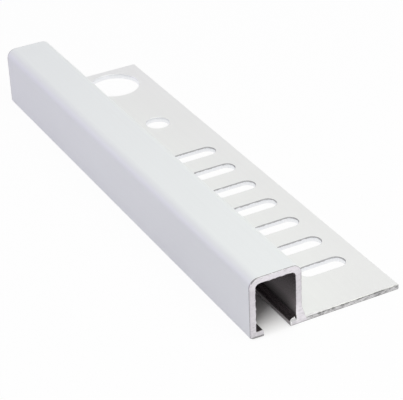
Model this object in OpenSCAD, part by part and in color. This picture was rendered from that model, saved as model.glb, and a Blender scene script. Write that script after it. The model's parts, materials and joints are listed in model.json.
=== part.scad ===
// Box-section tile edge trim: one extruded bar, cut to a short sample length.
// A box edge, open underneath between two lips, finishes the tile's edge, and a flat leg
// with a row of punched openings is bedded under the tile.
// X runs across the bar from the box to the leg's free edge, Y along it and Z up.
// The origin is under the middle of the piece, on the plane that it rests on.

/* [Bar] */
// Length of the piece along the extrusion
length = 107.5; // [20:0.5:2500]
// Height of the box edge, for a tile and its bed
height = 12.5; // [9:0.1:22.5]
// Width of the box edge over its two walls
box_width = 10.3; // [8:0.1:20]
// Width of the leg, from the box to its free edge
leg_width = 20.3; // [17:0.1:40]

/* [Walls] */
// Thickness of the front wall, the face that stays in sight
front_wall = 1.05; // [0.8:0.05:2]
// Thickness of the top wall
top_wall = 1.2; // [0.8:0.05:2]
// Thickness of the wall that the tile's edge meets
tile_wall = 1.15; // [0.8:0.05:2]
// Thickness of the leg and of the lip that continues it under the box
leg_thickness = 1.1; // [0.8:0.05:2]

/* [Lips] */
// Reach of the front wall's lip into the box
front_lip = 1.5; // [0.8:0.05:2.5]
// Thickness of the front wall's lip
front_lip_thickness = 1.4; // [0.8:0.05:2]
// Reach of the leg's lip into the box, past the tile wall
tile_lip = 1.15; // [0.8:0.05:2.5]

/* [Rounds] */
// Outside radius between the front and the top
front_corner = 2; // [0.5:0.1:3]
// Outside radius between the top and the tile wall
tile_corner = 1.9; // [0.5:0.1:3]
// Outside radius at the foot of the front wall
foot_corner = 0.5; // [0.2:0.05:0.7]
// Inside radius between the front and the top
front_inner = 1; // [0.3:0.1:2]
// Inside radius between the top and the tile wall
tile_inner = 1.1; // [0.3:0.1:2]
// Inside radius where each lip leaves its wall
lip_root = 0.3; // [0.1:0.05:0.8]
// Radius on the free edges of the lips and the leg
free_edge = 0.25; // [0.1:0.05:0.35]

/* [Gusset] */
// Width of the gusset on top of the leg, out from the tile wall
gusset_width = 0.8; // [0.3:0.1:3]
// Height of the gusset on the tile wall, up from the leg
gusset_height = 2.4; // [0.5:0.1:5]

/* [Punching] */
// Distance of the punched row from the leg's free edge
row_inset = 8.6; // [7:0.1:12]
// Slots in one punched group
slot_count = 7; // [1:1:8]
// Distance from the start of the group to the first slot
first_slot = 12.2; // [4:0.1:14]
// Distance between neighbouring slots
slot_pitch = 8.3; // [5:0.1:10]
// Length of a slot over its round ends, across the leg
slot_length = 9.5; // [5:0.1:13]
// Width of a slot
slot_width = 3.5; // [1:0.1:4]
// Diameter of the fixing hole
fixing_diameter = 5; // [3:0.1:8]
// Distance from the fixing hole to the keying hole
hole_pitch = 21.4; // [14:0.1:25]
// Diameter of the keying hole, which adhesive fills
keying_diameter = 11; // [5:0.1:12]
// Distance from the keying hole to the end of the group
group_tail = 7.9; // [7:0.1:12]
// Length of one group, which repeats along a longer bar
group_pitch = 108; // [100:0.5:200]
// Least metal between an opening and an end of the bar
end_land = 1; // [0.5:0.1:10]

/* [Hidden] */
$fn = 64;
overall_width = box_width + leg_width;
hollow_top = height - top_wall;
hollow_right = box_width - tile_wall;
front_lip_end = front_wall + front_lip;
tile_lip_end = hollow_right - tile_lip;
row_x = overall_width / 2 - row_inset;
keying_place = group_pitch - group_tail;
fixing_place = keying_place - hole_pitch;
// Overrun that carries a cut clear of the metal, or a fill into it
overrun = 0.5;

// Corner between two straight edges along +X and +Y and the arc that rounds them
module spandrel(radius) {
    difference() {
        translate([-overrun, -overrun])
            square(radius + overrun);
        translate([radius, radius])
            circle(r = radius);
    }
}

// One spandrel for each corner, listed as its place, its turn and its radius
module spandrels(corners) {
    for (corner = corners)
        translate(corner[0])
            rotate(corner[1])
                spandrel(corner[2]);
}

// Front, top and tile walls of the box
module walls() {
    difference() {
        square([box_width, height]);
        translate([front_wall, -overrun])
            square([hollow_right - front_wall, hollow_top + overrun]);
    }
}

// Lip under the front wall, and the leg with the lip that continues it
module lips_and_leg() {
    square([front_lip_end, front_lip_thickness]);
    translate([tile_lip_end, 0])
        square([overall_width - tile_lip_end, leg_thickness]);
}

// Sloping gusset in the angle between the tile wall and the leg
module gusset() {
    polygon([
        [hollow_right, leg_thickness],
        [box_width + gusset_width, leg_thickness],
        [box_width, leg_thickness + gusset_height],
        [hollow_right, leg_thickness + gusset_height],
    ]);
}

// Cross-section of the bar, with its front face on the Y axis
module section() {
    difference() {
        union() {
            walls();
            lips_and_leg();
            gusset();
            spandrels([
                [[front_wall, hollow_top], -90, front_inner],
                [[hollow_right, hollow_top], 180, tile_inner],
                [[front_wall, front_lip_thickness], 0, lip_root],
                [[hollow_right, leg_thickness], 90, lip_root],
            ]);
        }
        spandrels([
            [[0, height], -90, front_corner],
            [[box_width, height], 180, tile_corner],
            [[0, 0], 0, foot_corner],
            [[front_lip_end, 0], 90, free_edge],
            [[front_lip_end, front_lip_thickness], 180, free_edge],
            [[tile_lip_end, 0], 0, free_edge],
            [[tile_lip_end, leg_thickness], -90, free_edge],
            [[overall_width, 0], 90, free_edge],
            [[overall_width, leg_thickness], 180, free_edge],
        ]);
    }
}

// Slot across the leg, with round ends
module slot_outline() {
    straight = slot_length - slot_width;
    square([straight, slot_width], center = true);
    for (side = [-1, 1])
        translate([side * straight / 2, 0])
            circle(d = slot_width);
}

// Puts an opening on the punched row, a distance from the near end, if the bar's ends leave room
module on_row(distance, size) {
    if (distance - size / 2 >= end_land && distance + size / 2 <= length - end_land)
        translate([row_x, distance - length / 2, -overrun])
            linear_extrude(leg_thickness + 2 * overrun)
                children();
}

// Slots, fixing hole and keying hole of each group along the leg
module punching() {
    for (start = [0 : group_pitch : length]) {
        for (i = [0 : slot_count - 1])
            on_row(start + first_slot + i * slot_pitch, slot_width)
                slot_outline();
        on_row(start + fixing_place, fixing_diameter)
            circle(d = fixing_diameter);
        on_row(start + keying_place, keying_diameter)
            circle(d = keying_diameter);
    }
}

module tile_trim() {
    color("whitesmoke")
        difference() {
            rotate([90, 0, 0])
                linear_extrude(length, center = true)
                    translate([-overall_width / 2, 0])
                        section();
            punching();
        }
}

tile_trim();
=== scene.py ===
"""Box-section tile edge trim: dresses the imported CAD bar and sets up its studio.

Laid out as an add-on and run as a script. All lengths are in metres, in the CAD model's frame:
X across the bar from the box to the leg's free edge, Y along it and Z up from the floor.
"""

import json
import math

import bpy
from bpy.props import FloatProperty, FloatVectorProperty, IntProperty, PointerProperty
from mathutils import Matrix, Quaternion, Vector


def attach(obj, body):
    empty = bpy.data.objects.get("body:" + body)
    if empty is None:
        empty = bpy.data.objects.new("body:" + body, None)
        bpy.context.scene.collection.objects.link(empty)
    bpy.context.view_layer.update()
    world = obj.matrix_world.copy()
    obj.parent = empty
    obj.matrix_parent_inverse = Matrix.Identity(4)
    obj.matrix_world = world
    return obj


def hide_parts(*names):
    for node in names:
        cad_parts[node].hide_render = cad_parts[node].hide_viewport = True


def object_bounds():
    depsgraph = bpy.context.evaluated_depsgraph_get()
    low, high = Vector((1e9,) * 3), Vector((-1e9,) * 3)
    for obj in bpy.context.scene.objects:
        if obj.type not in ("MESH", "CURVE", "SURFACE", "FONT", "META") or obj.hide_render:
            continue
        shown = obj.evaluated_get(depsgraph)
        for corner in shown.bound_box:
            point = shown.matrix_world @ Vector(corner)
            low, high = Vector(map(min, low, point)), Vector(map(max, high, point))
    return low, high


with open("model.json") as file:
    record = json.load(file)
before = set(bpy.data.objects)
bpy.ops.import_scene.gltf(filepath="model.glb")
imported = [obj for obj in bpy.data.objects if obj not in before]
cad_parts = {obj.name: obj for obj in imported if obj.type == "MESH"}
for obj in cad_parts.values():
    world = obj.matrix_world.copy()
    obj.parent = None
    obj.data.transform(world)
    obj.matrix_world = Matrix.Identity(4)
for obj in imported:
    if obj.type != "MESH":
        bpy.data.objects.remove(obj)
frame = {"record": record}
CAD_LOW, CAD_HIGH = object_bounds()

bl_info = {
    "name": "Tile edge trim",
    "version": (1, 0, 0),
    "blender": (4, 5, 0),
    "location": "3D View > Sidebar > Trim",
    "description": "Dresses a box-section tile edge trim and sets up its studio",
    "category": "Object",
}

MM = 0.001
NODE = "tile_trim"
BODY = "root"
PIECE = "edge_trim_bar"

# Photograph's frame in pixels, and the camera that was fitted to it
PICTURE_WIDTH = 403
FOCAL_PIXELS = 1632.07
SENSOR_WIDTH = 36.0
EYE = Vector((-0.126141, -0.255415, 0.164774))
CAMERA_AZIMUTH = -26.940
CAMERA_ELEVATION = 30.599
CAMERA_ROLL = -2.672

# Lamps: where each stands, the point that it faces and its width
KEY_PLACE = (0.05, -0.18, 0.35)
KEY_TARGET = (0.0, -0.05, 0.0)
KEY_SIZE = 0.5
FILL_PLACE = (-0.35, 0.36, 0.06)
FILL_TARGET = (0.0, 0.04, 0.0)
FILL_SIZE = 0.3
# Floor: half its width, and how far it lies below the bar
FLOOR_REACH = 3.0
FLOOR_DROP = 0.03 * MM

# Rings of points that round over each cut end
END_RINGS = 5
# Rounds of this radius or more are drawn finely; the turns between points are in degrees
LARGE_ROUND = 0.7 * MM
LARGE_ROUND_TURN = 6
SMALL_ROUND_TURN = 13
# Points on one corner of a slot and round each hole
SLOT_CORNER_POINTS = 14
FIXING_POINTS = 56
KEYING_POINTS = 88
# Radius of a slot's corners as a share of its width, just short of where two arcs would meet
SLOT_CORNER = 0.4999
# Points closer together than this are welded into one
WELD = 0.0005 * MM
# Seed of the burr on the cut ends
BURR_SEED = 3
# Finishes, as they are numbered on the faces of the bar
COATED, BARE, SAWN, PUNCHED = range(4)


def mount_place(name, axis):
    """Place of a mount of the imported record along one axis, in metres."""
    for mount in frame["record"]["mounts"]:
        if mount["name"] == name:
            return mount["pos_m"][axis]
    raise ValueError(f"the packed record has no mount named {name}")


def distance(name, description, millimetres):
    """A length that the user can change, given in millimetres."""
    return FloatProperty(
        name=name,
        description=description,
        default=millimetres * MM,
        min=0.0,
        unit="LENGTH",
        subtype="DISTANCE",
        precision=5,
    )


def share(name, description, value, highest=1.0):
    """A share or a strength that the user can change."""
    return FloatProperty(
        name=name,
        description=description,
        default=value,
        min=0.0,
        max=highest,
        subtype="FACTOR",
    )


def colour(name, description, value):
    """A colour that the user can change, in linear light."""
    return FloatVectorProperty(
        name=name,
        description=description,
        default=value,
        min=0.0,
        max=1.0,
        size=3,
        subtype="COLOR",
    )


class TrimSizes(bpy.types.PropertyGroup):
    """Sizes of the bar's section and of its punched row"""

    box_width: distance("Box width", "Width of the box edge over its two walls", 10.3)
    front_wall: distance("Front wall", "Thickness of the face that stays in sight", 1.05)
    top_wall: distance("Top wall", "Thickness of the top of the box", 1.2)
    tile_wall: distance("Tile wall", "Thickness of the wall that the tile's edge meets", 1.15)
    leg_thickness: distance("Leg thickness", "Thickness of the leg and its lip", 1.1)
    front_lip: distance("Front lip", "Reach of the front wall's lip into the box", 1.5)
    front_lip_thickness: distance("Front lip thickness", "Thickness of the front lip", 1.4)
    tile_lip: distance("Tile lip", "Reach of the leg's lip into the box", 1.15)
    front_corner: distance("Front corner", "Outside radius between front and top", 2.0)
    tile_corner: distance("Tile corner", "Outside radius between top and tile wall", 1.9)
    foot_corner: distance("Foot corner", "Outside radius at the foot of the front wall", 0.5)
    front_inner: distance("Front inner corner", "Inside radius between front and top", 1.0)
    tile_inner: distance("Tile inner corner", "Inside radius between top and tile wall", 1.1)
    lip_root: distance("Lip root", "Inside radius where each lip leaves its wall", 0.3)
    free_edge: distance("Free edge", "Radius on the free edges of lips and leg", 0.25)
    gusset_width: distance("Gusset width", "Width of the gusset on top of the leg", 0.8)
    gusset_height: distance("Gusset height", "Height of the gusset on the tile wall", 2.4)
    gusset_blend: distance("Gusset blend", "Radius at the foot and the top of the gusset", 0.25)
    row_inset: distance("Row inset", "Distance of the row from the leg's free edge", 8.6)
    slot_count: IntProperty(
        name="Slots", description="Slots in the punched row", default=7, min=1, max=12
    )
    first_slot: distance("First slot", "Distance of the first slot from the near end", 12.2)
    slot_pitch: distance("Slot pitch", "Distance between neighbouring slots", 8.3)
    slot_length: distance("Slot length", "Length of a slot over its round ends", 9.5)
    slot_width: distance("Slot width", "Width of a slot", 3.5)
    fixing_diameter: distance("Fixing hole", "Diameter of the fixing hole", 5.0)
    keying_diameter: distance("Keying hole", "Diameter of the hole that adhesive fills", 11.0)
    end_round: distance("End round", "Radius that the saw leaves on the edges of a cut end", 0.15)
    front_break: distance("Front break", "Depth of the broken edge on the front of a cut end", 0.48)
    foot_break: distance("Foot break", "Depth of the broken edge under the front foot and the lip", 0.55)
    foot_lift: distance("Foot lift", "Height of the broken edge under the front foot", 0.75)
    lip_lift: distance("Lip lift", "Height of the broken edge under the tile lip", 0.5)
    leg_break: distance("Leg break", "Size of the broken edge under the leg", 0.2)
    burr: distance("Burr", "Height of the burr on the inner edges of a cut end", 0.09)
    shear_flare: distance("Shear flare", "Widening of an opening where the metal tore", 0.05)
    shear_depth: distance("Shear depth", "Depth of the torn band below the leg's top", 0.32)
    rim_roll: distance("Rim roll", "Radius on the underside of a punched opening", 0.15)


class TrimFinish(bpy.types.PropertyGroup):
    """Colours and textures of the bar's surfaces"""

    coat: colour("Coat", "Pale satin coat on the outside", (0.816, 0.855, 0.845))
    leg_coat: colour("Leg coat", "Thinner and warmer coat on the leg", (0.832, 0.849, 0.833))
    # Darker than bare aluminium: partly the uncoated metal, and partly painted shade for the dark inside
    # of the box
    bare: colour("Bare metal", "Uncoated metal inside the box", (0.54, 0.495, 0.515))
    sawn: colour("Sawn metal", "Bright metal of the cut ends", (0.895, 0.865, 0.905))
    # Pits and smears, and also the colour of the painted shade at the front foot and along the bottom
    # edges
    saw_pit_and_shade: colour("Saw pits", "Pits and smears on the cut ends", (0.24, 0.24, 0.24))
    # Also the near-white colour of the tall burrs, partly a painted highlight
    saw_chip: colour("Saw chips", "Bright tears on the cut ends", (0.96, 0.96, 0.96))
    sheared: colour("Sheared metal", "Smooth band of a punched wall", (0.88, 0.89, 0.91))
    torn: colour("Torn metal", "Rough band of a punched wall", (0.47, 0.47, 0.48))
    coat_metal: share("Coat metal", "How metallic the coat is", 0.08)
    coat_roughness: share("Coat roughness", "Roughness of the coat", 0.42)


class TrimStudio(bpy.types.PropertyGroup):
    """Light and floor of the studio"""

    ambient: share("Ambient", "Strength of the even light from all round", 0.51, 2.0)
    ambient_tint: colour("Ambient tint", "Colour of the even light", (0.908, 0.836, 1.0))
    key_power: FloatProperty(
        name="Key power", description="Power of the soft lamp overhead", default=1.19, unit="POWER"
    )
    key_tint: colour("Key tint", "Colour of the soft lamp overhead", (0.965, 1.0, 0.855))
    fill_power: FloatProperty(
        name="Fill power", description="Power of the cool lamp on the left", default=0.25, unit="POWER"
    )
    fill_tint: colour("Fill tint", "Colour of the lamp on the left", (0.56, 0.40, 1.0))
    floor_colour: colour("Floor", "Colour of the floor", (0.88, 0.88, 0.88))
    floor_lift: share("Floor white", "How far the open floor is lifted to white", 0.95)


class Wire:
    """One output socket, so that the maths of a node tree reads as a Python expression."""

    def __init__(self, plan, socket):
        self.plan = plan
        self.socket = socket

    def other(self, identifier):
        """Another output of the same node."""
        return self.plan.output_of(self.socket.node, identifier)

    def maths(self, operation, first, second=0.0):
        """A Math node on values, or a Vector Math node on vectors and colours."""
        if self.socket.type in {"VECTOR", "RGBA"}:
            pair = {"Vector": first, "Vector_001": second}
            return self.plan.make("ShaderNodeVectorMath", {"operation": operation}, pair)
        pair = {"Value": first, "Value_001": second}
        return self.plan.make("ShaderNodeMath", {"operation": operation}, pair)

    def __add__(self, other):
        return self.maths("ADD", self, other)

    def __radd__(self, other):
        return self.maths("ADD", other, self)

    def __sub__(self, other):
        return self.maths("SUBTRACT", self, other)

    def __rsub__(self, other):
        return self.maths("SUBTRACT", other, self)

    def __mul__(self, other):
        return self.maths("MULTIPLY", self, other)

    def __rmul__(self, other):
        return self.maths("MULTIPLY", other, self)

    def __truediv__(self, other):
        return self.maths("DIVIDE", self, other)

    def __pow__(self, other):
        return self.maths("POWER", self, other)

    def __gt__(self, other):
        return self.maths("GREATER_THAN", self, other)

    def __lt__(self, other):
        return self.maths("LESS_THAN", self, other)

    def __abs__(self):
        return self.maths("ABSOLUTE", self)

    def least(self, other):
        """The smaller of two values."""
        return self.maths("MINIMUM", self, other)

    def most(self, other):
        """The larger of two values."""
        return self.maths("MAXIMUM", self, other)

    def root(self):
        """Square root."""
        return self.maths("SQRT", self)

    def cosine(self):
        """Cosine of an angle in radians."""
        return self.maths("COSINE", self)

    def sine(self):
        """Sine of an angle in radians."""
        return self.maths("SINE", self)

    def scaled(self, amount):
        """A vector or a colour times a value."""
        sockets = {"Vector": self, "Scale": amount}
        return self.plan.make("ShaderNodeVectorMath", {"operation": "SCALE"}, sockets)

    def step(self, low, high):
        """Smooth step from 0 at low to 1 at high, or the other way round where low is the higher."""
        sockets = {"Value": self, "From Min": low, "From Max": high}
        return self.plan.make("ShaderNodeMapRange", {"interpolation_type": "SMOOTHSTEP"}, sockets)

    def swing(self, amount):
        """A pattern's swing to either side of its middle, times an amount."""
        return (self - 0.5) * amount

    def parts(self):
        """The X, Y and Z of a vector."""
        first = self.plan.make("ShaderNodeSeparateXYZ", {}, {"Vector": self})
        return first, first.other("Y"), first.other("Z")


class Plan:
    """A node tree that is drawn up node by node."""

    def __init__(self, tree):
        self.tree = tree

    def output_of(self, node, identifier):
        """An output socket, by its identifier."""
        for socket in node.outputs:
            if socket.identifier == identifier:
                return Wire(self, socket)
        raise KeyError(f"{node.bl_idname} has no output {identifier}")

    def make(self, kind, settings=None, sockets=None, output=None):
        """Adds a node: its settings first, then the values or links of its sockets."""
        node = self.tree.nodes.new(kind)
        for name, value in (settings or {}).items():
            setattr(node, name, value)
        inputs = {socket.identifier: socket for socket in node.inputs}
        for name, value in (sockets or {}).items():
            for entry in value if isinstance(value, list) else [value]:
                if isinstance(entry, Wire):
                    self.tree.links.new(entry.socket, inputs[name])
                else:
                    inputs[name].default_value = entry
        if output is not None:
            return self.output_of(node, output)
        if node.outputs:
            return Wire(self, next(socket for socket in node.outputs if socket.enabled))
        return node

    def noise(self, place, scale, detail=2.0, roughness=0.5, seed=0.0):
        """Noise of a given number of lumps to the metre, about 0 to 1."""
        settings = {"noise_dimensions": "4D"}
        sockets = {
            "Vector": place,
            "W": seed,
            "Scale": scale,
            "Detail": detail,
            "Roughness": roughness,
        }
        return self.make("ShaderNodeTexNoise", settings, sockets)

    def blend(self, amount, first, second):
        """A colour between two, by an amount from 0 to 1."""
        sockets = {"Factor_Float": amount, "A_Color": first, "B_Color": second}
        return self.make("ShaderNodeMix", {"data_type": "RGBA"}, sockets, "Result_Color")

    def stretched(self, place, scale):
        """Object coordinates scaled along each axis: a pattern grows long where the scale is small."""
        return self.make("ShaderNodeMapping", {}, {"Vector": place, "Scale": scale})


def solid(value):
    """A colour property as the four numbers of a colour socket."""
    return (*value, 1.0)


# Cross-section and wall line, as drawn for the sweep

class Outline:
    """Points round the section, with each one's outward direction and the surface that it is on."""

    def __init__(self):
        self.points = []
        self.outward = []
        self.inside = []
        self.punched = []
        self.ragged = []

    def add(self, place, outward, inside, punched, ragged):
        """Adds one point with its marks."""
        self.points.append(Vector(place))
        self.outward.append(Vector(outward))
        self.inside.append(inside)
        self.punched.append(punched)
        self.ragged.append(ragged)


def rounded_corner(before, corner, after, radius):
    """Points and outward directions of a corner's arc, anticlockwise round the metal."""
    arriving = (corner - before).normalized()
    leaving = (after - corner).normalized()
    turn = arriving.angle_signed(leaving)
    reach = radius * math.tan(abs(turn) / 2)
    start = corner - arriving * reach
    side = 1 if turn < 0 else -1
    right = Vector((arriving.y, -arriving.x))
    centre = start - right * radius * side
    finest = math.radians(LARGE_ROUND_TURN if radius >= LARGE_ROUND else SMALL_ROUND_TURN)
    pieces = max(3, math.ceil(abs(turn) / finest))
    arc = []
    for i in range(pieces + 1):
        spoke = right.copy()
        spoke.rotate(Matrix.Rotation(-turn * i / pieces, 2))
        arc.append((centre + spoke * radius * side, spoke))
    return arc


def section_outline(sizes):
    """The bar's cross-section, anticlockwise, with X across the bar and Y up."""
    overall = CAD_HIGH.x - CAD_LOW.x
    height = CAD_HIGH.z
    hollow_top = height - sizes.top_wall
    hollow_right = sizes.box_width - sizes.tile_wall
    lip_end = sizes.front_wall + sizes.front_lip
    leg_end = hollow_right - sizes.tile_lip
    lip_top = sizes.front_lip_thickness
    leg_top = sizes.leg_thickness
    toe = sizes.box_width + sizes.gusset_width
    edge = sizes.free_edge
    # Burr that the saw leaves on the end of a wall: how high at the wall's ends and at its peak,
    # and the power of the distance along the wall that puts the peak in its place
    clean = (0, 0, 1)
    rough = (1, 1.4, 1)
    foot_curl = (1, 5, 0.25)
    lip_curl = (9, 11, 1)
    root_curl = (0, 5, 12)
    # Place and radius of each corner, then what the wall after it is: inside the box or not,
    # punched or not, and its burr
    corners = [
        ((0, 0), sizes.foot_corner, 0, 0, clean),
        ((lip_end, 0), edge, 1, 0, rough),
        ((lip_end, lip_top), edge, 1, 0, foot_curl),
        ((sizes.front_wall, lip_top), sizes.lip_root, 1, 0, rough),
        ((sizes.front_wall, hollow_top), sizes.front_inner, 1, 0, rough),
        ((hollow_right, hollow_top), sizes.tile_inner, 1, 0, rough),
        ((hollow_right, leg_top), sizes.lip_root, 1, 0, lip_curl),
        ((leg_end, leg_top), edge, 1, 0, rough),
        ((leg_end, 0), edge, 0, 1, clean),
        ((overall, 0), edge, 0, 0, clean),
        ((overall, leg_top), edge, 0, 1, root_curl),
        ((toe, leg_top), sizes.gusset_blend, 0, 0, clean),
        ((sizes.box_width, leg_top + sizes.gusset_height), sizes.gusset_blend, 0, 0, clean),
        ((sizes.box_width, height), sizes.tile_corner, 0, 0, clean),
        ((0, height), sizes.front_corner, 0, 0, clean),
    ]
    shift = Vector((CAD_LOW.x, 0))
    arcs = []
    for i, corner in enumerate(corners):
        before = Vector(corners[i - 1][0])
        after = Vector(corners[(i + 1) % len(corners)][0])
        arcs.append(rounded_corner(before, Vector(corner[0]), after, corner[1]))
    outline = Outline()
    spacing = 0.1 * MM
    for i, arc in enumerate(arcs):
        came_inside, came_punched, came_burr = corners[i - 1][2:]
        goes_inside, goes_punched, goes_burr = corners[i][2:]
        ends, peak, power = goes_burr
        for j, (place, spoke) in enumerate(arc):
            first = j == 0
            last = j == len(arc) - 1
            inside = came_inside if first else goes_inside if last else came_inside * goes_inside
            punched = came_punched if first else goes_punched if last else 0
            along = j / (len(arc) - 1)
            if came_burr[0] * ends == 0:
                ragged = came_burr[0] * max(0, 1 - 2 * along) + ends * max(0, 2 * along - 1)
            else:
                ragged = came_burr[0] * (1 - along) + ends * along
            outline.add(place + shift, spoke, inside, punched, ragged)
        if peak > 0:
            start, spoke = arc[-1]
            end = arcs[(i + 1) % len(arcs)][0][0]
            steps = max(1, round((end - start).length / spacing))
            for k in range(1, steps):
                along = k / steps
                ragged = ends + (peak - ends) * math.sin(math.pi * along ** power)
                outline.add(start.lerp(end, along) + shift, spoke, goes_inside, goes_punched, ragged)
    return outline


def wall_line(sizes):
    """Upright line of a punched wall from bottom to top, as outward offset and height."""
    top = sizes.leg_thickness
    roll = sizes.rim_roll
    flare = sizes.shear_flare
    edge = 0.04 * MM
    tear_rise = 0.08 * MM
    roll_steps = 4
    line = []
    for i in range(roll_steps + 1):
        angle = math.pi / 2 * i / roll_steps
        line.append((roll * (1 - math.sin(angle)), roll * (1 - math.cos(angle))))
    tear = top - sizes.shear_depth
    line.append((0.0, tear))
    line.append((flare * 0.7, tear + tear_rise))
    line.append((flare, top - edge))
    line.append((flare + edge * 0.3, top - edge * 0.3))
    line.append((flare + edge, top))
    return line


def level_shading(mesh, heights):
    """Gives the flat faces at these heights upright normals, which slim faces beside them would bend."""
    close = 0.001 * MM
    flat = 0.9999
    nearly_upright = math.cos(math.radians(15))
    normals = [corner.vector.copy() for corner in mesh.corner_normals]
    upright = {}
    for face in mesh.polygons:
        level = min(abs(face.center.z - height) for height in heights) < close
        if level and abs(face.normal.z) > flat:
            target = Vector((0.0, 0.0, math.copysign(1.0, face.normal.z)))
            for corner, vertex in zip(face.loop_indices, face.vertices):
                normals[corner] = target
                upright[vertex] = target
    for loop in mesh.loops:
        target = upright.get(loop.vertex_index)
        if target is not None and normals[loop.index].dot(target) > nearly_upright:
            normals[loop.index] = target
    mesh.normals_split_custom_set(normals)


def drawing_mesh(sizes):
    """Section and wall line as loose edges, drawn with Y down because the sweep turns it over."""
    outline = section_outline(sizes)
    wall = wall_line(sizes)
    count = len(outline.points)
    points = [(p.x, -p.y, 0.0) for p in outline.points]
    points += [(offset, -height, 0.0) for offset, height in wall]
    edges = [(i, (i + 1) % count) for i in range(count)]
    edges += [(count + i, count + i + 1) for i in range(len(wall) - 1)]
    mesh = bpy.data.meshes.new("trim_drawing")
    mesh.from_pydata(points, edges, [])
    blank = [0.0] * len(wall)
    columns = {
        "is_wall": [0.0] * count + [1.0] * len(wall),
        "inside": [float(value) for value in outline.inside] + blank,
        "punched": [float(value) for value in outline.punched] + blank,
        "ragged": [float(value) for value in outline.ragged] + blank,
    }
    for name, values in columns.items():
        mesh.attributes.new(name, "FLOAT", "POINT").data.foreach_set("value", values)
    outward = []
    for spoke in outline.outward:
        outward += [spoke.x, 0.0, spoke.y]
    outward += [0.0] * (3 * len(wall))
    mesh.attributes.new("outward", "FLOAT_VECTOR", "POINT").data.foreach_set("vector", outward)
    return mesh


# Geometry Nodes tree of the punched bar

# Inputs that are sizes of the bar, named as its properties are
TREE_SIZES = [
    "Leg Thickness",
    "End Round",
    "Front Break",
    "Foot Break",
    "Foot Lift",
    "Lip Lift",
    "Leg Break",
    "Burr",
    "First Slot",
    "Slot Pitch",
    "Slot Length",
    "Slot Width",
    "Fixing Diameter",
    "Keying Diameter",
]
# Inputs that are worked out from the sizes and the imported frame
TREE_PLACES = ["Length", "Foot Start", "Foot End", "Lip Start", "Row X", "Fixing Place", "Keying Place"]
TREE_COUNTS = ["Slot Count", "Seed"]
TREE_MATERIALS = ["Coated", "Bare", "Sawn", "Punched"]
# Marks of the drawing and the tree that the finished bar has no use for
DRAWING_MARKS = ["is_wall", "inside", "punched", "ragged", "outward", "finish"]


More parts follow.
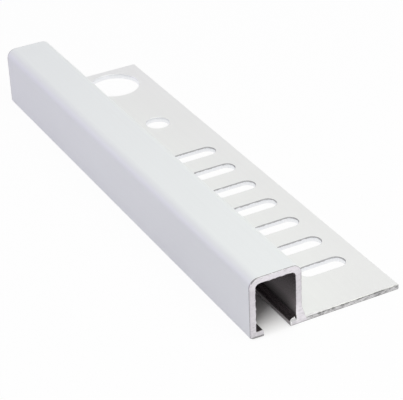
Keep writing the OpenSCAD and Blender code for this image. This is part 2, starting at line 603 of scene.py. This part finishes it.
def trim_tree():
    """Sweeps the section along the bar, rounds its ends, and punches the row in its leg."""
    tree = bpy.data.node_groups.new("Punched trim bar", "GeometryNodeTree")
    plan = Plan(tree)
    tree.interface.new_socket("Geometry", in_out="OUTPUT", socket_type="NodeSocketGeometry")
    tree.interface.new_socket("Drawing", in_out="INPUT", socket_type="NodeSocketGeometry")
    kinds = {"Float": TREE_SIZES + TREE_PLACES, "Int": TREE_COUNTS, "Material": TREE_MATERIALS}
    for kind, names in kinds.items():
        for name in names:
            tree.interface.new_socket(name, in_out="INPUT", socket_type=f"NodeSocket{kind}")
    entry = tree.nodes.new("NodeGroupInput")
    given = {socket.name: Wire(plan, socket) for socket in entry.outputs if socket.name}
    half = given["Length"] * 0.5
    leg = given["Leg Thickness"]

    def attribute(name, kind="FLOAT"):
        """A mark that the drawing or an earlier node left on the geometry."""
        return plan.make("GeometryNodeInputNamedAttribute", {"data_type": kind}, {"Name": name})

    def vector(x, y, z):
        """A vector from its three parts."""
        return plan.make("ShaderNodeCombineXYZ", {}, {"X": x, "Y": y, "Z": z})

    def place():
        """The X, Y and Z of each point."""
        return plan.make("GeometryNodeInputPosition").parts()

    def z_up(curve):
        """A curve whose profile stays upright along it."""
        return plan.make("GeometryNodeSetCurveNormal", {"mode": "Z_UP"}, {"Curve": curve})

    def finished(geometry, finish):
        """Geometry whose faces are marked with the number of their finish."""
        settings = {"data_type": "INT", "domain": "FACE"}
        sockets = {"Geometry": geometry, "Name": "finish", "Value": finish}
        return plan.make("GeometryNodeStoreNamedAttribute", settings, sockets)

    # Section and wall line out of the one drawing
    sockets = {"Geometry": given["Drawing"], "Selection": attribute("is_wall") > 0.5}
    wall = plan.make("GeometryNodeSeparateGeometry", {"domain": "POINT"}, sockets)
    section = wall.other("Inverted")
    wall_curve = plan.make("GeometryNodeMeshToCurve", {}, {"Mesh": wall})
    section_curve = plan.make("GeometryNodeMeshToCurve", {}, {"Mesh": section})

    # Path along the bar, with rings close together where the ends are rounded over
    radius = given["End Round"]
    index = plan.make("GeometryNodeInputIndex")
    ring = index.least(2 * END_RINGS - 1 - index)
    angle = ring * (math.pi / 2 / (END_RINGS - 1))
    from_end = radius * (1 - angle.cosine())
    side = (index > END_RINGS - 0.5) * 2 - 1
    line = plan.make("GeometryNodeMeshLine", {}, {"Count": 2 * END_RINGS, "Offset": (0, 0, 0)})
    spot = vector(0.0, side * (half - from_end), 0.0)
    line = plan.make("GeometryNodeSetPosition", {}, {"Geometry": line, "Position": spot})
    path = z_up(plan.make("GeometryNodeMeshToCurve", {}, {"Mesh": line}))
    sockets = {"Curve": path, "Profile Curve": section_curve, "Fill Caps": True}
    swept = plan.make("GeometryNodeCurveToMesh", {}, sockets)
    bar = plan.make("GeometryNodeFlipFaces", {}, {"Mesh": swept})

    # Rounded ends, whose outer edges are broken more deeply at the front and under the feet
    x, y, z = place()
    depth = (half - abs(y)).most(0.0)
    hollow = radius - depth.least(radius)
    inset = radius - (radius * radius - hollow * hollow).most(0.0).root()
    outward = attribute("outward", "FLOAT_VECTOR")
    over, _, upward = outward.parts()
    ragged = attribute("ragged")
    outer = 1 - ragged.least(1.0)
    ahead = (0 - over).most(0.0) * outer
    under = (0 - upward).most(0.0) * outer
    foot = x < given["Foot End"]
    foot_full = 0.2 * MM
    foot_fade = 4.2 * MM
    lip_fade = 3.2 * MM
    near = x.step(given["Foot Start"] + foot_fade, given["Foot Start"] + foot_full) * foot
    near = near + x.step(given["Lip Start"] + lip_fade, given["Lip Start"]) * (1 - foot)
    lift = given["Foot Lift"] * foot + given["Lip Lift"] * (1 - foot)
    lift = given["Leg Break"] + (lift - given["Leg Break"]) * near
    reach = given["Leg Break"] + (given["Foot Break"] - given["Leg Break"]) * near
    inset = inset * (0.3 + outer * 0.7) * (1 + under * (lift / radius - 1))
    deeper = ahead * (given["Front Break"] / radius - 1) + under * (reach / radius - 1)

    # Burr on the inner edges: lumps where it is low, teeth where it is tall, few gaps where tallest
    spot = vector(x, y, z)
    lumps = plan.noise(spot, 1100.0, roughness=0.6, seed=given["Seed"] * 7.3)
    teeth = plan.noise(spot, 3200.0, roughness=0.6, seed=given["Seed"] * 5.1)
    curl = ragged.step(2.0, 3.5)
    level = lumps + curl * (teeth * 0.75 - lumps * 0.65) + ragged.step(5.5, 8.5) * 0.09
    burred = level.step(0.44, 0.66) * (hollow / radius)
    height = given["Burr"] * ragged
    sunk = inset * (1 - burred * (height / radius).least(1.0))
    # Next to the tile wall the tall burr stands upright
    upright = curl * x.step(given["Lip Start"] + 0.3 * MM, given["Lip Start"] + 0.8 * MM)
    lean = outward + (vector(0.0, 0.0, 1.0) - outward).scaled(upright)
    inward = 1 - (y > 0.0) * 2
    offset = lean.scaled(height * burred) - outward.scaled(sunk)
    offset = offset + vector(0.0, inward * depth * deeper, 0.0)
    bar = plan.make("GeometryNodeSetPosition", {}, {"Geometry": bar, "Offset": offset})

    # Finish of each face of the bar, then the plain faces of the leg come out
    _, y, _ = place()
    at_end = abs(y) > half * 0.5
    in_box = attribute("inside") > 0.99
    bar = finished(bar, at_end * SAWN + (1 - at_end) * in_box * BARE)
    plain = (attribute("punched") > 0.99) * (1 - at_end)
    sockets = {"Geometry": bar, "Selection": plain}
    bar = plan.make("GeometryNodeDeleteGeometry", {"domain": "FACE"}, sockets)

    # Punched openings: outlines on the row, with the wall line swept round each
    slot = plan.make(
        "GeometryNodeCurvePrimitiveQuadrilateral",
        {"mode": "RECTANGLE"},
        {"Width": given["Slot Length"], "Height": given["Slot Width"]},
    )
    corner = given["Slot Width"] * SLOT_CORNER
    sockets = {"Curve": slot, "Count": SLOT_CORNER_POINTS, "Radius": corner}
    slot = plan.make("GeometryNodeFilletCurve", {"mode": "POLY"}, sockets)
    start = vector(given["Row X"], given["First Slot"] - half, 0.0)
    pitch = vector(0.0, given["Slot Pitch"], 0.0)
    sockets = {"Count": given["Slot Count"], "Start Location": start, "Offset": pitch}
    row = plan.make("GeometryNodeMeshLine", {}, sockets)
    slots = plan.make("GeometryNodeInstanceOnPoints", {}, {"Points": row, "Instance": slot})
    rounds = []
    for name, points in [("Fixing", FIXING_POINTS), ("Keying", KEYING_POINTS)]:
        sockets = {"Resolution": points, "Radius": given[f"{name} Diameter"] * 0.5}
        ring = plan.make("GeometryNodeCurvePrimitiveCircle", {}, sockets)
        spot = vector(given["Row X"], given[f"{name} Place"], 0.0)
        rounds.append(plan.make("GeometryNodeTransform", {}, {"Geometry": ring, "Translation": spot}))
    outlines = plan.make("GeometryNodeJoinGeometry", {}, {"Geometry": [slots, *rounds]})
    outlines = z_up(plan.make("GeometryNodeRealizeInstances", {}, {"Geometry": outlines}))
    sockets = {"Curve": outlines, "Profile Curve": wall_curve}
    walls = finished(plan.make("GeometryNodeCurveToMesh", {}, sockets), PUNCHED)

    # Leg's top and underside, filled between the bar's open edges and the rims
    shell = plan.make("GeometryNodeJoinGeometry", {}, {"Geometry": [bar, walls]})
    sockets = {"Geometry": shell, "Distance": WELD}
    shell = plan.make("GeometryNodeMergeByDistance", {}, sockets)
    open_edge = plan.make("GeometryNodeInputMeshEdgeNeighbors") < 1.5
    faces = [shell]
    for top in (True, False):
        x, y, z = place()
        level = z > leg * 0.5 if top else z < leg * 0.5
        sockets = {"Mesh": shell, "Selection": open_edge * level}
        rims = plan.make("GeometryNodeMeshToCurve", {}, sockets)
        panel = plan.make("GeometryNodeFillCurve", {"mode": "TRIANGLES"}, {"Curve": rims})
        spot = vector(x, y, leg if top else 0.0)
        panel = plan.make("GeometryNodeSetPosition", {}, {"Geometry": panel, "Position": spot})
        if not top:
            panel = plan.make("GeometryNodeFlipFaces", {}, {"Mesh": panel})
        faces.append(finished(panel, COATED))
    whole = plan.make("GeometryNodeJoinGeometry", {}, {"Geometry": faces})
    sockets = {"Geometry": whole, "Distance": WELD}
    whole = plan.make("GeometryNodeMergeByDistance", {}, sockets)
    for domain in ("FACE", "EDGE"):
        sockets = {"Geometry": whole, "Shade Smooth": True}
        whole = plan.make("GeometryNodeSetShadeSmooth", {"domain": domain}, sockets)
    whole = plan.make("GeometryNodeRealizeInstances", {}, {"Geometry": whole})
    for number, name in enumerate(TREE_MATERIALS):
        chosen = attribute("finish", "INT") > number - 0.5
        sockets = {"Geometry": whole, "Selection": chosen, "Material": given[name]}
        whole = plan.make("GeometryNodeSetMaterial", {}, sockets)
    plan.make("NodeGroupOutput", {}, {tree.interface.items_tree["Geometry"].identifier: whole})
    return tree


# Finishes

def new_finish(name):
    """A material with an empty plan, and the object coordinates that it reads."""
    material = bpy.data.materials.new(name)
    material.use_nodes = True
    material.node_tree.nodes.clear()
    plan = Plan(material.node_tree)
    place = plan.make("ShaderNodeTexCoord", {}, {}, "Object")
    return material, plan, place


def close_finish(plan, sockets):
    """Adds the shader and the output that end a finish."""
    shader = plan.make("ShaderNodeBsdfPrincipled", {}, sockets)
    plan.make("ShaderNodeOutputMaterial", {}, {"Surface": shader})


def bump(plan, height, depth):
    """A Bump node of a depth in metres."""
    sockets = {"Height": height, "Distance": depth, "Strength": 1.0}
    return plan.make("ShaderNodeBump", {}, sockets)


def coat_finish(finish, sizes):
    """Pale satin coat, thinner on the leg: a fine grain over the long marks of the die."""
    material, plan, place = new_finish("satin_coat")
    tile_face = CAD_LOW.x + sizes.box_width
    leg = place.parts()[0].step(tile_face, tile_face + sizes.gusset_width)
    drawn = plan.stretched(place, (1.0, 0.012, 1.0))
    long_marks = plan.noise(drawn, 1500.0, detail=3.0, roughness=0.6, seed=1.0)
    clouds = plan.noise(place, 45.0, seed=2.0)
    grain = plan.noise(place, 5200.0, roughness=0.6, seed=3.0)
    tone = 1 + long_marks.swing(0.045) + clouds.swing(0.05) + grain.swing(0.04)
    base = plan.blend(leg, solid(finish.coat), solid(finish.leg_coat)).scaled(tone)
    roughness = finish.coat_roughness + long_marks.swing(0.12) + grain.swing(0.16)
    height = grain * 0.6 + long_marks * 0.4
    close_finish(
        plan,
        {
            "Base Color": base,
            "Metallic": finish.coat_metal,
            "Roughness": roughness,
            "Normal": bump(plan, height, 0.004 * MM),
        },
    )
    return material


def bare_finish(finish, sizes):
    """Uncoated metal in the box, with the die's long marks.

    Its dark colour is partly the uncoated metal and partly painted shade. The lips' inner edges and a
    band low on the tile wall are darker still, painted shade.
    """
    material, plan, place = new_finish("bare_box")
    x, _, z = place.parts()
    drawn = plan.stretched(place, (1.0, 0.01, 1.0))
    long_marks = plan.noise(drawn, 1800.0, detail=4.0, roughness=0.65, seed=4.0)
    stains = plan.noise(place, 160.0, detail=3.0, roughness=0.6, seed=5.0)
    # Painted shade: the lips' inner edges low in the box are darker and less metallic
    lip_shade = z.step(sizes.leg_thickness - 0.1 * MM, sizes.leg_thickness - 0.3 * MM)
    tone = 1 + long_marks.swing(0.2) + stains.swing(0.2)
    # Painted shade: a dark band low on the tile wall, over its lip
    box_right = CAD_LOW.x + sizes.box_width - sizes.tile_wall
    band = x.step(box_right - 0.5 * MM, box_right - 0.15 * MM)
    band = band * z.step(1.6 * MM, 2.2 * MM) * z.step(5.1 * MM, 2.5 * MM)
    tone = tone * (1 - lip_shade * 0.5) * (1 - band * 0.67)
    sockets = {"Vector": finish.bare, "Scale": tone}
    base = plan.make("ShaderNodeVectorMath", {"operation": "SCALE"}, sockets)
    close_finish(
        plan,
        {
            "Base Color": base,
            "Metallic": 0.94 - lip_shade * 0.2,
            "Roughness": 0.24 + long_marks.swing(0.12),
            "Normal": bump(plan, long_marks, 0.0025 * MM),
        },
    )
    return material


def sawn_finish(finish, sizes):
    """Saw-cut metal: shallow arcs of the blade, and streaks, pits and chips, most on the leg.

    The broken outer edges are darker, and the front foot darker still with painted contact shade. The
    tall burrs take a near-white colour, partly a painted highlight, the lip's at its top with painted
    shade below.
    """
    material, plan, place = new_finish("sawn_end")
    box_left = CAD_LOW.x + sizes.front_wall
    box_right = CAD_LOW.x + sizes.box_width - sizes.tile_wall
    box_top = CAD_HIGH.z - sizes.top_wall
    tile_face = CAD_LOW.x + sizes.box_width
    leg_top = sizes.leg_thickness
    x, y, z = place.parts()
    # Middle of the saw blade, beside the bar and below it, and radians of its marks to the metre
    blade_x = 0.02
    blade_depth = 0.11
    mark_rate = 21000.0
    across = x - blade_x
    below = z + blade_depth
    sweep = (across * across + below * below).root()
    wander = plan.noise(place, 500.0, seed=6.0)
    arcs = (sweep * mark_rate + wander * 5.0).sine() * 0.5 + 0.5
    wide = plan.stretched(place, (0.45, 1.0, 1.0))
    wider = plan.stretched(place, (0.3, 1.0, 1.0))
    tall = plan.stretched(place, (1.0, 1.0, 0.2))
    pits = plan.noise(wide, 2600.0, detail=3.0, roughness=0.7, seed=7.0)
    smears = plan.noise(wider, 900.0, roughness=0.6, seed=8.0)
    patches = plan.noise(tall, 260.0, seed=18.0)
    chips = plan.noise(place, 3400.0, roughness=0.6, seed=12.0).step(0.56, 0.68)
    # Regions of the cut: the leg, the tile lip and what lies beyond it, the front foot, the tile wall
    leg = (x + z.least(leg_top) * 0.33).step(tile_face + 1.0 * MM, tile_face + 1.3 * MM)
    lip = x.step(box_right - 1.5 * MM, box_right - 1.3 * MM)
    toe = x.step(box_right - 3.0 * MM, box_right - 4.0 * MM)
    tile = x.step(box_right - 0.2 * MM, box_right + 0.1 * MM) * (1 - leg)
    # Streaks and pits, in blotches along the leg
    blotch = patches.step(0.48, 0.62) * leg
    depth = 0.40 + leg * 0.06 + patches.swing(0.2)
    dark = 1 - pits.step(depth - 0.10, depth + 0.10)
    amount = dark * (0.20 + leg * 0.32) + (1 - smears.step(0.32, 0.56)) * (0.10 + leg * 0.16)
    # The end is also darker towards the bottom at its front part and under the tile lip
    amount = amount + blotch * 0.34 + leg * 0.08 + toe * z.step(2.4 * MM, 0.7 * MM) * 0.12
    amount = amount + lip * (1 - leg) * z.step(1.5 * MM, 0.5 * MM) * 0.12
    # Dark lines along the leg's edges, the tile wall's outer edge and the front foot: partly broken
    # edges, and partly painted shade, most of all the painted contact shade along the bottom edges
    upper = z.step(leg_top - 0.36 * MM, leg_top - 0.16 * MM)
    # Painted contact shade along the leg's bottom edge, together with its broken edge
    lower = z.step(0.34 * MM, 0.12 * MM)
    heel_edge_and_shade = x.step(tile_face - 1.0 * MM, tile_face - 0.2 * MM) * (1 - leg)
    dark_edges_and_shade = (upper.most(lower) * leg).most(z.step(0.5 * MM, 0.3 * MM) * heel_edge_and_shade)
    seam_edge_and_shade = x.step(tile_face - 0.30 * MM, tile_face - 0.16 * MM) * (1 - leg) * z.step(2.5 * MM, 4.0 * MM)
    # Painted contact shade: the front foot darker towards the floor
    foot = z.step(0.75 * MM, 0.45 * MM) * toe
    amount = amount + dark_edges_and_shade * 0.45 * smears.step(0.25, 0.5)
    amount = amount + seam_edge_and_shade * 0.5 * smears.step(0.42, 0.6) + foot * 0.5
    # Broken edges, and the burrs that stand in the box and at the leg's root
    front = x.step(CAD_LOW.x + 0.45 * MM, CAD_LOW.x + 0.25 * MM)
    broken = (CAD_HIGH.y - abs(y) - front * 0.2 * MM).step(0.006 * MM, 0.05 * MM)
    hollow = x.step(box_left - 0.2 * MM, box_left) * x.step(box_right + 0.2 * MM, box_right)
    hollow = hollow * z.step(box_top + 0.2 * MM, box_top) * z.step(0.3 * MM, 0.6 * MM)
    amount = amount.most(broken * (1 - hollow * 0.8) * (0.9 - front * 0.3 - chips * 0.5)).least(1.0)
    edge = x.step(box_right - sizes.tile_lip + 0.25 * MM, box_right - sizes.tile_lip + 0.1 * MM)
    burr_top = z.step(2.5 * MM, 2.2 * MM)
    over = z.step(leg_top - 0.1 * MM, leg_top + 0.05 * MM) * burr_top
    lip_top = sizes.front_lip_thickness
    toe_over = z.step(lip_top + 0.02 * MM, lip_top + 0.12 * MM) * burr_top * toe
    toe_over = toe_over * x.step(box_left + 0.4 * MM, box_left + 0.7 * MM)
    curl = (hollow * lip * edge.most(over) * 0.9).most(hollow * toe_over).most(over * leg)
    bright = plan.blend((chips * 0.8).most(leg * 0.9), solid(finish.sawn), solid(finish.saw_chip))
    base = plan.blend(amount, bright, solid(finish.saw_pit_and_shade))
    # Painted light: the end face is lighter at the top of the box, where light falls from above. It is
    # also lighter low on the tile wall's end and a little darker on the leg
    tone = 0.85 + z.step(9.5 * MM, 11.6 * MM) * 0.085 + patches.swing(0.2) * (1 - leg)
    tone = tone + tile * (z.step(5.5 * MM, 3.0 * MM) * 0.16 - 0.02) - leg * 0.03
    # The tall burrs take the near-white chip colour, partly their bright metal and partly a painted
    # highlight
    base = plan.blend(curl * (1 - dark * 0.35), base.scaled(tone), solid(finish.saw_chip))
    # Painted shade: the lip's burr is darker below its top, except at chips
    shaded = over * z.step(leg_top + 0.7 * MM, leg_top + 0.4 * MM) * (1 - chips)
    base = base.scaled(1 - hollow * lip * shaded * 0.35)
    height = arcs * 0.4 + pits * 0.6
    close_finish(
        plan,
        {
            "Base Color": base,
            "Metallic": 0.5 + curl * 0.45,
            "Roughness": 0.45 + dark * 0.25 - curl * 0.2,
            "Normal": bump(plan, height, 0.03 * MM),
        },
    )
    return material


def punched_finish(finish, sizes):
    """Punched wall: a smooth sheared band below, and under the leg's top a rough torn band.

    The round holes are punched clean, so the torn band belongs to the slots.
    """
    material, plan, place = new_finish("punched_wall")
    _, y, z = place.parts()
    slots_end = 14.0 * MM
    holes_start = 20.0 * MM
    tear = sizes.leg_thickness - sizes.shear_depth
    wander = plan.noise(place, 1300.0, detail=3.0, roughness=0.6, seed=9.0)
    torn = (z + wander.swing(0.5) * MM).step(tear - 0.03 * MM, tear + 0.10 * MM)
    clean = y.step(slots_end, holes_start)
    torn = torn * (1 - clean * 0.85)
    upright = plan.stretched(place, (1.0, 1.0, 0.06))
    marks = plan.noise(upright, 6000.0, roughness=0.6, seed=10.0)
    pits = plan.noise(place, 7000.0, detail=3.0, roughness=0.7, seed=11.0)
    base = plan.blend(torn, solid(finish.sheared), solid(finish.torn))
    tone = 1 + marks.swing(0.2) * (1 - torn) + pits.swing(0.8) * torn
    height = marks * (1 - torn) * 0.3 + pits * torn
    close_finish(
        plan,
        {
            "Base Color": base.scaled(tone),
            "Metallic": 0.85 - torn * 0.5,
            "Roughness": 0.30 + torn * 0.3,
            "Normal": bump(plan, height, 0.02 * MM),
        },
    )
    return material


# Studio

def floor_finish(studio, sizes):
    """Pale floor that the camera and glossy metal see as white, except where the box shades it, and deep
    under the box its colour is darkened, a painted shade.
    """
    material, plan, place = new_finish("studio_floor")
    x, y, _ = place.parts()
    soft = 0.3 * MM
    light_depth = 6.5 * MM
    skew = 0.12 / MM
    front = CAD_LOW.x + sizes.front_wall * 0.5
    back = CAD_LOW.x + sizes.box_width - sizes.tile_wall * 0.5
    middle = (front + back) / 2
    # Light reaches further in on the side away from the front wall
    depth = (CAD_HIGH.y - abs(y)) / (1 + (x - middle) * skew)
    reach = (1 - (depth / light_depth).most(0.0)).most(0.0) ** 1.5
    under = x.step(front - soft, front + soft) * x.step(back + soft, back - soft)
    # Painted shade: the floor's own colour is darkened deep under the box
    deep_shade = under * depth.step(2.0 * MM, 9.0 * MM)
    seen = plan.make("ShaderNodeLightPath", {}, {}, "Is Camera Ray")
    mirrored = seen.other("Is Glossy Ray").most(seen.other("Is Transmission Ray"))
    within = depth.step(-1.0 * MM, 0.5 * MM)
    lit = 1 - under * (1 - reach * (1 - within * 0.12))
    lift = (seen * lit).most(mirrored * lit.most(0.07)) * studio.floor_lift
    shade = plan.blend(deep_shade * 0.6, solid(studio.floor_colour), (0.0, 0.0, 0.0, 1.0))
    cloth = plan.make("ShaderNodeBsdfDiffuse", {}, {"Color": shade})
    white = plan.make("ShaderNodeEmission", {}, {"Color": (1.0, 1.0, 1.0, 1.0), "Strength": 1.0})
    mixed = plan.make("ShaderNodeMixShader", {}, {"Fac": lift, "Shader": cloth, "Shader_001": white})
    plan.make("ShaderNodeOutputMaterial", {}, {"Surface": mixed})
    return material


def studio_world(studio):
    """Even light from all round, which the camera and glossy metal see as white."""
    world = bpy.data.worlds.new("studio_world")
    world.use_nodes = True
    world.node_tree.nodes.clear()
    plan = Plan(world.node_tree)
    seen = plan.make("ShaderNodeLightPath", {}, {}, "Is Camera Ray")
    seen = seen.most(seen.other("Is Glossy Ray")).most(seen.other("Is Transmission Ray"))
    strength = studio.ambient + seen * (1.0 - studio.ambient)
    tint = plan.blend(seen, solid(studio.ambient_tint), (1.0, 1.0, 1.0, 1.0))
    light = plan.make("ShaderNodeBackground", {}, {"Color": tint, "Strength": strength})
    plan.make("ShaderNodeOutputWorld", {}, {"Surface": light})
    return world


def soft_lamp(name, place, target, size, power, tint):
    """A square area lamp that faces a point and isn't seen itself."""
    light = bpy.data.lights.new(name, "AREA")
    light.shape = "SQUARE"
    light.size = size
    light.energy = power
    light.color = tint
    lamp = bpy.data.objects.new(name, light)
    lamp.location = place
    lamp.rotation_euler = (Vector(target) - Vector(place)).to_track_quat("-Z", "Y").to_euler()
    lamp.visible_camera = False
    bpy.context.scene.collection.objects.link(lamp)
    return lamp


def photo_camera():
    """The camera at the photograph's viewing angle."""
    data = bpy.data.cameras.new("photo_camera")
    data.sensor_width = SENSOR_WIDTH
    data.lens = FOCAL_PIXELS * SENSOR_WIDTH / PICTURE_WIDTH
    data.clip_start = 0.01
    data.clip_end = 20.0
    camera = bpy.data.objects.new("photo_camera", data)
    azimuth = math.radians(CAMERA_AZIMUTH)
    elevation = math.radians(CAMERA_ELEVATION)
    level = math.cos(elevation)
    back = Vector((math.sin(azimuth) * level, -math.cos(azimuth) * level, math.sin(elevation)))
    roll = Quaternion((0.0, 0.0, 1.0), math.radians(CAMERA_ROLL))
    camera.rotation_mode = "QUATERNION"
    camera.rotation_quaternion = (-back).to_track_quat("-Z", "Y") @ roll
    camera.location = EYE
    bpy.context.scene.collection.objects.link(camera)
    bpy.context.scene.camera = camera
    return camera


class TRIM_OT_make_bar(bpy.types.Operator):
    """Makes the punched bar in place of the CAD solid, with its finishes"""

    bl_idname = "trim.make_bar"
    bl_label = "Make trim bar"

    def execute(self, context):
        sizes = context.scene.trim_sizes
        finish = context.scene.trim_finish
        maker = bpy.data.objects.new("trim_maker", drawing_mesh(sizes))
        context.scene.collection.objects.link(maker)
        tree = trim_tree()
        modifier = maker.modifiers.new("Punched trim bar", "NODES")
        modifier.node_group = tree
        values = {
            "Length": CAD_HIGH.y - CAD_LOW.y,
            "Foot Start": CAD_LOW.x,
            "Foot End": CAD_LOW.x + sizes.front_wall + sizes.front_lip + sizes.free_edge,
            "Lip Start": CAD_LOW.x + sizes.box_width - sizes.tile_wall - sizes.tile_lip,
            "Row X": CAD_HIGH.x - sizes.row_inset,
            "Fixing Place": mount_place("fixing_hole", 1),
            "Keying Place": mount_place("keying_hole", 1),
            "Slot Count": sizes.slot_count,
            "Seed": BURR_SEED,
            "Coated": coat_finish(finish, sizes),
            "Bare": bare_finish(finish, sizes),
            "Sawn": sawn_finish(finish, sizes),
            "Punched": punched_finish(finish, sizes),
        }
        for name in TREE_SIZES:
            values[name] = getattr(sizes, name.lower().replace(" ", "_"))
        for item in tree.interface.items_tree:
            if item.in_out == "INPUT" and item.name in values:
                modifier[item.identifier] = values[item.name]
        weighted = maker.modifiers.new("Even shading", "WEIGHTED_NORMAL")
        weighted.mode = "FACE_AREA"
        weighted.weight = 50
        view = context.evaluated_depsgraph_get()
        mesh = bpy.data.meshes.new_from_object(
            maker.evaluated_get(view), preserve_all_data_layers=True, depsgraph=view
        )
        mesh.name = PIECE
        bpy.data.objects.remove(maker)
        if len(mesh.polygons) == 0:
            raise RuntimeError("the node tree made no bar")
        for name in DRAWING_MARKS:
            mesh.attributes.remove(mesh.attributes[name])
        while mesh.materials[0] is None:
            mesh.materials.pop(index=0)
        level_shading(mesh, [0.0, sizes.leg_thickness])
        bar = bpy.data.objects.new(PIECE, mesh)
        context.scene.collection.objects.link(bar)
        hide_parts(NODE)
        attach(bar, BODY)
        return {"FINISHED"}


class TRIM_OT_make_studio(bpy.types.Operator):
    """Makes the floor, the lamps, the world and the camera"""

    bl_idname = "trim.make_studio"
    bl_label = "Make studio"

    def execute(self, context):
        scene = context.scene
        studio = scene.trim_studio
        mesh = bpy.data.meshes.new("studio_floor")
        around = [(-1, -1), (1, -1), (1, 1), (-1, 1)]
        corners = [(x * FLOOR_REACH, y * FLOOR_REACH, -FLOOR_DROP) for x, y in around]
        mesh.from_pydata(corners, [], [(0, 1, 2, 3)])
        mesh.materials.append(floor_finish(studio, scene.trim_sizes))
        floor = bpy.data.objects.new("studio_floor", mesh)
        scene.collection.objects.link(floor)
        scene.world = studio_world(studio)
        key = (KEY_PLACE, KEY_TARGET, KEY_SIZE, studio.key_power, studio.key_tint)
        fill = (FILL_PLACE, FILL_TARGET, FILL_SIZE, studio.fill_power, studio.fill_tint)
        soft_lamp("key_lamp", *key)
        soft_lamp("fill_lamp", *fill)
        photo_camera()
        scene.view_settings.view_transform = "Standard"
        return {"FINISHED"}


class TRIM_PT_sidebar(bpy.types.Panel):
    """Lists what makes the trim and its studio"""

    bl_idname = "TRIM_PT_sidebar"
    bl_label = "Tile edge trim"
    bl_space_type = "VIEW_3D"
    bl_region_type = "UI"
    bl_category = "Trim"

    def draw(self, context):
        """Draws the two operators, then the values in a box for each group."""
        layout = self.layout
        scene = context.scene
        layout.operator(TRIM_OT_make_bar.bl_idname)
        layout.operator(TRIM_OT_make_studio.bl_idname)
        for group in (scene.trim_sizes, scene.trim_finish, scene.trim_studio):
            box = layout.box()
            for name in group.__annotations__:
                box.prop(group, name)


CLASSES = (TrimSizes, TrimFinish, TrimStudio, TRIM_OT_make_bar, TRIM_OT_make_studio, TRIM_PT_sidebar)


def register():
    """Registers the classes, and the values that each scene keeps."""
    for cls in CLASSES:
        bpy.utils.register_class(cls)
    bpy.types.Scene.trim_sizes = PointerProperty(type=TrimSizes)
    bpy.types.Scene.trim_finish = PointerProperty(type=TrimFinish)
    bpy.types.Scene.trim_studio = PointerProperty(type=TrimStudio)


def unregister():
    """Takes back what register did, in reverse order."""
    del bpy.types.Scene.trim_studio
    del bpy.types.Scene.trim_finish
    del bpy.types.Scene.trim_sizes
    for cls in reversed(CLASSES):
        bpy.utils.unregister_class(cls)


def main():
    """Makes the bar and the studio."""
    register()
    bpy.ops.trim.make_bar()
    bpy.ops.trim.make_studio()


if __name__ == "__main__":
    main()
